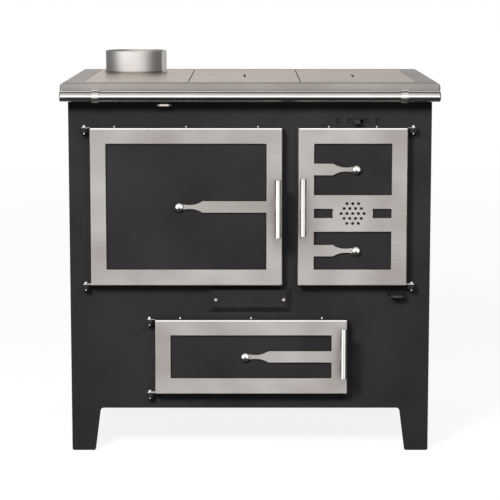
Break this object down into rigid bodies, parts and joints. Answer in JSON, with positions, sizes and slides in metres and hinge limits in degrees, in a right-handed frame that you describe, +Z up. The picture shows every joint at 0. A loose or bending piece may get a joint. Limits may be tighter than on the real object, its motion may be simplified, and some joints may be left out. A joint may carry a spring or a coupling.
{
  "type": "wood cookstove",
  "caption": "Freestanding wood-burning cookstove with a hinged oven door, fire door and storage door, lift-off cooking plates, a flue collar and a towel rail.",
  "frame": {"origin": "middle of the bounding box in plan, at floor level under the feet", "axes": "+Z up, +X to the right of someone facing the front, +Y towards the back"},
  "size_m": [0.855, 0.6644, 0.9023],
  "materials": {
    "black_paint": "matt graphite heat-resistant stove paint on sheet steel",
    "stainless": "brushed stainless steel",
    "polished_steel": "polished stainless steel",
    "cooking_steel": "machined steel plate, brushed from side to side, warm grey",
    "cast_iron": "rough dark grey casting",
    "dark_steel": "heat-darkened mild steel",
    "firebrick": null,
    "rope_seal": "braided glass-fibre rope, dark grey",
    "black_plastic": "glossy black heat-resistant plastic"
  },
  "bodies": {
    "stove": {"front_panel": "black_paint", "left_side_panel": "black_paint", "right_side_panel": "black_paint", "back_panel": "black_paint", "base_plate": "black_paint", "top_frame": "stainless", "flue_plate": "cooking_steel", "flue_collar": "stainless", "towel_rail": "polished_steel", "rail_end_cap_left": "polished_steel", "rail_end_cap_right": "polished_steel", "rail_strap_left": "stainless", "rail_strap_right": "stainless", "cleanout_cover": "black_paint", "cleanout_screw_left": "dark_steel", "cleanout_screw_right": "dark_steel", "oven_box": "dark_steel", "smoke_floor": "dark_steel", "smoke_divider": "dark_steel", "flue_box": "dark_steel", "firebox_shell": "dark_steel", "firebrick_left": "firebrick", "firebrick_right": "firebrick", "firebrick_back": "firebrick", "fire_grate": "cast_iron", "storage_box": "dark_steel"},
    "oven_door": {"oven_door_pan": "black_paint", "oven_door_liner": "dark_steel", "oven_door_rope": "rope_seal", "oven_door_fascia": "stainless", "oven_door_stud": "polished_steel", "oven_door_handle": "polished_steel", "oven_hinge_pin_upper": "stainless", "oven_hinge_pin_lower": "stainless"},
    "fire_door": {"fire_door_pan": "black_paint", "fire_door_liner": "cast_iron", "fire_door_rope": "rope_seal", "fire_door_fascia": "stainless", "fire_door_stud_upper": "polished_steel", "fire_door_stud_lower": "polished_steel", "fire_door_handle": "polished_steel", "fire_hinge_pin_upper": "stainless", "fire_hinge_pin_lower": "stainless"},
    "storage_door": {"storage_door_pan": "black_paint", "storage_door_liner": "dark_steel", "storage_door_fascia": "stainless", "storage_door_stud": "polished_steel", "storage_door_handle": "polished_steel", "storage_hinge_pin_upper": "stainless", "storage_hinge_pin_lower": "stainless"},
    "air_register": {"air_register_slide": "black_paint", "air_register_knob": "black_plastic"},
    "flue_damper": {"damper_valve": "dark_steel"},
    "primary_air": {"primary_air_slide": "dark_steel"},
    "centre_plate": {"centre_cook_plate": "cooking_steel"},
    "right_plate": {"right_cook_plate": "cooking_steel"},
    "rack": {"oven_rack": "polished_steel"},
    "ash_tray": {"ash_pan": "dark_steel"}
  },
  "joints": [
    {"name": "oven_door_hinge", "type": "hinge", "parent": "stove", "child": "oven_door", "pos_m": [-0.3735, -0.27075, 0.57], "axis": [0, 0, -1], "range_deg": [0, 120]},
    {"name": "fire_door_hinge", "type": "hinge", "parent": "stove", "child": "fire_door", "pos_m": [0.368, -0.27075, 0.57], "axis": [0, 0, 1], "range_deg": [0, 120]},
    {"name": "storage_door_hinge", "type": "hinge", "parent": "stove", "child": "storage_door", "pos_m": [-0.2295, -0.27075, 0.226], "axis": [0, 0, -1], "range_deg": [0, 120]},
    {"name": "air_register_slide", "type": "slide", "parent": "stove", "child": "air_register", "axis": [1, 0, 0], "range_m": [0, 0.0125]},
    {"name": "flue_damper_pull", "type": "slide", "parent": "stove", "child": "flue_damper", "axis": [0, -1, 0], "range_m": [0, 0.06]},
    {"name": "primary_air_pull", "type": "slide", "parent": "stove", "child": "primary_air", "axis": [0, -1, 0], "range_m": [0, 0.09]},
    {"name": "centre_plate_lift", "type": "slide", "parent": "stove", "child": "centre_plate", "axis": [0, 0, 1], "range_m": [0, 0.06]},
    {"name": "right_plate_lift", "type": "slide", "parent": "stove", "child": "right_plate", "axis": [0, 0, 1], "range_m": [0, 0.06]},
    {"name": "oven_rack_slide", "type": "slide", "parent": "stove", "child": "rack", "axis": [0, -1, 0], "range_m": [0, 0.045]},
    {"name": "ash_pan_slide", "type": "slide", "parent": "stove", "child": "ash_tray", "axis": [0, -1, 0], "range_m": [0, 0.03]}
  ]
}
